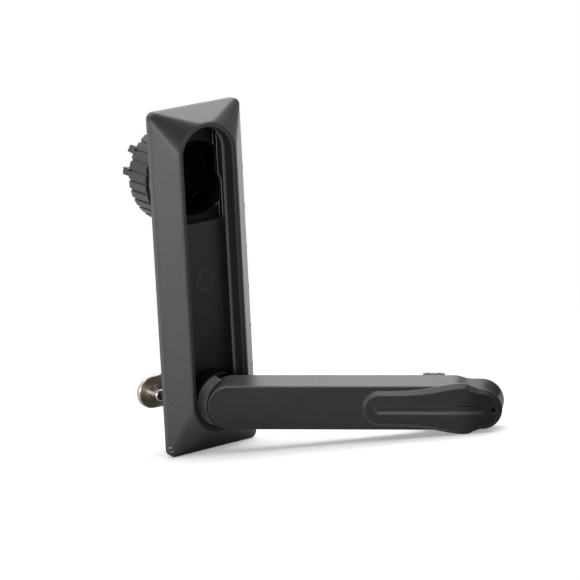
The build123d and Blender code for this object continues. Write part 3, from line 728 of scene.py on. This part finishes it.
def rotor_finish():
    """Satin collar with painted light on its underside and on faces that look up, over a drum made
    almost black and dull by painted shadow.
    """
    material = moulded("rotor_plastic", ROTOR_COLOR, 0.42, grain=1500.0, edge=0.8 * MM,
                       edge_highlight=2.0, painted_top_light=0.4)
    tree = material.node_tree
    shader = tree.nodes["Principled BSDF"].inputs
    height = use(tree, RECESS, Length=RECESS_LENGTH, Boss=BOSS_AXIS.z)["Height"]
    # painted shadow: the drum below the collar is almost black and shines little
    shadowed_drum = below(tree, height, COLLAR_HEIGHT + 0.05 * MM, 0.15 * MM)
    # painted light: faces of the collar that look down are paler
    under = below(tree, parts_of(tree, own(tree, "Normal"))["Z"], -0.45, 0.35)
    color = shader["Base Color"].links[0].from_socket
    color = tint(tree, under, color, shades(ROTOR_COLOR, UNDERSIDE_PAINTED_LIGHT))
    tree.links.new(tint(tree, shadowed_drum, color, shades(ROTOR_COLOR, DRUM_PAINTED_SHADOW)), shader["Base Color"])
    tree.links.new(blend(tree, shadowed_drum, 0.5, 0.1), shader["Specular IOR Level"])
    return material


def turned_finish(name, color, roughness, centre, pitch, depth):
    """Turned steel face with tool rings round the stud and a brown cast towards the middle."""
    material, tree, shader = new_material(name)
    rings = use(tree, RINGS, Centre=centre, Pitch=pitch, Depth=depth)
    body = tint(tree, rings["Mottle"], shades(color, 0.75), shades(color, 1.15))
    middle = step(tree, rings["Radius"], BROWN_OUTER, BROWN_INNER, 0.0, BROWN_SHARE)
    body = tint(tree, middle, body, tuple(c * share for c, share in zip(color, BROWN_CAST)))
    tree.links.new(body, shader["Base Color"])
    tree.links.new(blend(tree, rings["Mottle"], roughness + 0.06, roughness - 0.04),
                   shader["Roughness"])
    tree.links.new(rings["Normal"], shader["Normal"])
    shader["Metallic"].default_value = 1.0
    return material


# ---------------------------------------------------------------- threads
SPIRAL_STEPS = 72       # in each turn
RIDGE_SIDES = 6
# name, axis, start behind the door's face, radius, length, pitch and ridge, in millimetres
THREADS = (
    ("boss_thread_front", BOSS_AXIS, 3.7, 25, 1.2, 0.6, 0.2),
    ("boss_thread_rear", BOSS_AXIS, 24.0, 25, 1.6, 0.8, 0.3),
    ("neck_thread_front", SPINDLE_AXIS, 2.5, 12, 1.2, 0.6, 0.2),
    ("neck_thread_rear", SPINDLE_AXIS, 10.6, 12, 2.0, 0.8, 0.3),
)


def thread_tree():
    """Helical ridge round the Y axis, from the origin towards +Y."""
    tree = bpy.data.node_groups.new("thread_ridge", "GeometryNodeTree")
    ids = {}
    for label, kind in (("Radius", "Float"), ("Length", "Float"), ("Turns", "Float"),
                        ("Ridge", "Float"), ("Finish", "Material")):
        ids[label] = tree.interface.new_socket(
            label, in_out="INPUT", socket_type="NodeSocket" + kind
        ).identifier
    tree.interface.new_socket("Mesh", in_out="OUTPUT", socket_type="NodeSocketGeometry")
    given = add(tree, "NodeGroupInput").outputs
    line = add(tree, "GeometryNodeCurveSpiral")
    line.inputs["Resolution"].default_value = SPIRAL_STEPS
    for socket, label in (("Rotations", "Turns"), ("Start Radius", "Radius"),
                          ("End Radius", "Radius"), ("Height", "Length")):
        tree.links.new(given[label], line.inputs[socket])
    section = add(tree, "GeometryNodeCurvePrimitiveCircle")
    section.inputs["Resolution"].default_value = RIDGE_SIDES
    tree.links.new(given["Ridge"], section.inputs["Radius"])
    tube = add(tree, "GeometryNodeCurveToMesh")
    tube.inputs["Fill Caps"].default_value = True
    tree.links.new(line.outputs["Curve"], tube.inputs["Curve"])
    tree.links.new(section.outputs["Curve"], tube.inputs["Profile Curve"])
    turned = add(tree, "GeometryNodeTransform")
    turned.inputs["Rotation"].default_value = (-math.pi / 2, 0, 0)
    tree.links.new(tube.outputs["Mesh"], turned.inputs["Geometry"])
    real = add(tree, "GeometryNodeRealizeInstances")
    tree.links.new(turned.outputs["Geometry"], real.inputs["Geometry"])
    finish = add(tree, "GeometryNodeSetMaterial")
    tree.links.new(real.outputs["Geometry"], finish.inputs["Geometry"])
    tree.links.new(given["Finish"], finish.inputs["Material"])
    tree.links.new(finish.outputs["Geometry"], add(tree, "NodeGroupOutput").inputs[0])
    return tree, ids


def add_thread(thread, name, start, radius, length, pitch, ridge, material):
    """Thread on a boss, from a point on its axis towards the cabinet."""
    holder = bpy.data.objects.new(name + "_maker", bpy.data.meshes.new(name + "_maker"))
    bpy.context.scene.collection.objects.link(holder)
    modifier = holder.modifiers.new("thread", "NODES")
    modifier.node_group, ids = thread
    for label, value in (("Radius", radius), ("Length", length), ("Turns", length / pitch),
                         ("Ridge", ridge), ("Finish", material)):
        modifier[ids[label]] = value
    graph = bpy.context.evaluated_depsgraph_get()
    mesh = bpy.data.meshes.new_from_object(holder.evaluated_get(graph), depsgraph=graph)
    bpy.data.objects.remove(holder)
    mesh.transform(Matrix.Translation(start))
    mesh.name = name
    piece = bpy.data.objects.new(name, mesh)
    bpy.context.scene.collection.objects.link(piece)
    for face in mesh.polygons:
        face.use_smooth = True
    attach(piece, "dish_body")


# ---------------------------------------------------------------- collar lip
LIP_HEIGHT = 22.3 * MM    # above the door, just under the collar's top
LIP_THICKNESS = 1.0 * MM
LIP_GAP = 0.3 * MM        # to the lever's heel
LIP_END = -3.1 * MM       # the collar is open from here on
LIP_SPREAD = math.radians(80)   # to either side of the lever's middle line
LIP_STEPS = 24
SLOT_RADIUS = 15.2 * MM   # round end of the collar's slot for the heel
SLOT_END = -14.0 * MM     # where it reaches to across the dish
SLOT_CENTRE = SLOT_END + SLOT_RADIUS
HEEL_START = 3.1 * MM     # the lever's heel from the hinge axis, its half width and its draft
HEEL_HALF = 13.05 * MM
HEEL_DRAFT = math.tan(math.radians(6.4))
HEEL_ROUNDS = 12          # after which the drafted side is met at the lip's height


def heel_point(angle):
    """Point beside the lever's heel in the plane of the lip, as (x, z)."""
    face = (PIVOT - HINGE).dot(OUTWARD)
    depth = 0.0
    for _ in range(HEEL_ROUNDS):
        radius = HEEL_HALF + LIP_GAP + HEEL_DRAFT * depth
        forward = HEEL_START + HEEL_HALF - radius * math.cos(angle)
        point = HINGE + ALONG * forward + OUTWARD * (face - depth)
        depth += (-point.y - LIP_HEIGHT) / -OUTWARD.y
    return point.x, radius * math.sin(angle)


def slot_point(x, z):
    """Point of the collar's slot in the same direction as a point inside it."""
    angle = math.atan2(z, SLOT_CENTRE - x)
    return SLOT_CENTRE - SLOT_RADIUS * math.cos(angle), SLOT_RADIUS * math.sin(angle)


def lip_mesh(name):
    """Crescent between the slot and the heel, as a closed band of four-sided faces."""
    inner = [heel_point(LIP_SPREAD * (2 * i / LIP_STEPS - 1)) for i in range(LIP_STEPS + 1)]
    inner = [(x, z) for x, z in inner if x < LIP_END]
    outer = [slot_point(x, z) for x, z in inner]
    points = [(x, -height, z) for height in (LIP_HEIGHT - LIP_THICKNESS, LIP_HEIGHT)
              for line in (inner, outer) for x, z in line]
    count = len(inner)
    low_in, low_out, top_in, top_out = (k * count for k in range(4))
    faces = []
    for i in range(count - 1):
        for a, b in ((low_out, low_in), (top_in, top_out), (top_out, low_out), (low_in, top_in)):
            faces.append((a + i, b + i, b + i + 1, a + i + 1))
    for i, order in ((0, 1), (count - 1, -1)):
        faces.append(tuple(k + i for k in (low_in, low_out, top_out, top_in)[::order]))
    mesh = bpy.data.meshes.new(name)
    mesh.from_pydata(points, [], faces)
    work = bmesh.new()
    work.from_mesh(mesh)
    bmesh.ops.recalc_face_normals(work, faces=work.faces)
    work.to_mesh(mesh)
    work.free()
    return mesh


def add_lip(name, material):
    """Thin lip on the rotor that fills the crescent between its collar and the lever's heel."""
    piece = bpy.data.objects.new(name, lip_mesh(name))
    piece.data.materials.append(material)
    bpy.context.scene.collection.objects.link(piece)
    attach(piece, "rotor_body")


# ---------------------------------------------------------------- the object
def dress(material, *names):
    """Puts one material on every slot of the named nodes."""
    for name in names:
        for material_slot in nodes[name].material_slots:
            material_slot.material = material
    return material


make_camera()
make_floor()
make_world()
for lamp_name, lamp_position, lamp_size, lamp_radiance in LAMPS:
    area_light(lamp_name, lamp_position, lamp_size, lamp_radiance)
bpy.context.scene.view_settings.view_transform = "Standard"

dish_plastic = dress(dish_finish(), "dish")
rotor_plastic = dress(rotor_finish(), "rotor")
# lever and cover: strong painted highlights on their rounded edges
lever_plastic = moulded("lever_plastic", (0.005, 0.005, 0.006), 0.28, grain=900.0,
                        depth=0.006 * MM, edge=1.0 * MM, contrast=0.1, edge_highlight=20.0,
                        specular=0.6)
cover_plastic = moulded("cover_plastic", (0.005, 0.005, 0.006), 0.34, grain=1100.0,
                        depth=0.01 * MM, edge=0.6 * MM, contrast=0.12, edge_highlight=22.0)
# painted light on the sides and bevels of the lever and cover
dress(bevelled(lever_plastic, (0.07, 0.069, 0.07)), "lever")
dress(bevelled(cover_plastic, (0.06, 0.059, 0.062)), "key_cover")
dress(moulded("nut_nylon", (0.024, 0.022, 0.020), 0.4, grain=700.0, depth=0.02 * MM,
              contrast=0.25, edge_highlight=1.6, dust=0.4), "clamp_nut")
# the catch gets strong painted top light on faces that look up
dress(moulded("catch_nylon", (0.2, 0.198, 0.2), 0.45, grain=900.0, depth=0.02 * MM,
              edge=0.2 * MM, painted_top_light=0.6), "lock_catch")
dress(moulded("foam_gasket", (0.42, 0.42, 0.41), 0.75, grain=1600.0, depth=0.06 * MM,
              contrast=0.12, edge_highlight=1.05, specular=0.3), "boss_gasket")
dress(moulded("neck_rubber", (0.02, 0.02, 0.02), 0.65, grain=1000.0, edge=0.3 * MM),
      "neck_gasket")
dress(turned_finish("turned_steel", (0.62, 0.57, 0.51), 0.36, STUD_AXIS, pitch=0.28 * MM,
                    depth=0.012 * MM), "crank_arm")
dress(metal("nickel", (0.80, 0.76, 0.70), 0.2, grain=700.0, depth=0.004 * MM), "crank_stud")
dress(metal("zinc_plate", (0.60, 0.60, 0.58), 0.32, stretch=(1.0, 6.0, 1.0)),
      "arm_washer", "arm_screw", "neck_nut", "spindle", "thrust_washer")
dress(metal("spring_steel", (0.16, 0.16, 0.17), 0.4, grain=1200.0), "retaining_ring", "hinge_pin")
# painted shade: the pin is almost black for the shade in its hole
dress(metal("cover_pin_steel", (0.02, 0.02, 0.022), 0.5, grain=1200.0), "cover_pin")
dress(metal("cast_zinc", (0.17, 0.17, 0.18), 0.5, grain=1400.0, depth=0.02 * MM, edge=0.3 * MM),
      "lock_case")
dress(metal("plug_brass", (0.62, 0.52, 0.34), 0.34), "lock_plug")

add_lip("collar_lip", rotor_plastic)
ridge_tree = thread_tree()
for thread_name, axis, start, *sizes in THREADS:
    add_thread(ridge_tree, thread_name, axis + Vector((0, start, 0)) * MM,
               *(size * MM for size in sizes), dish_plastic)
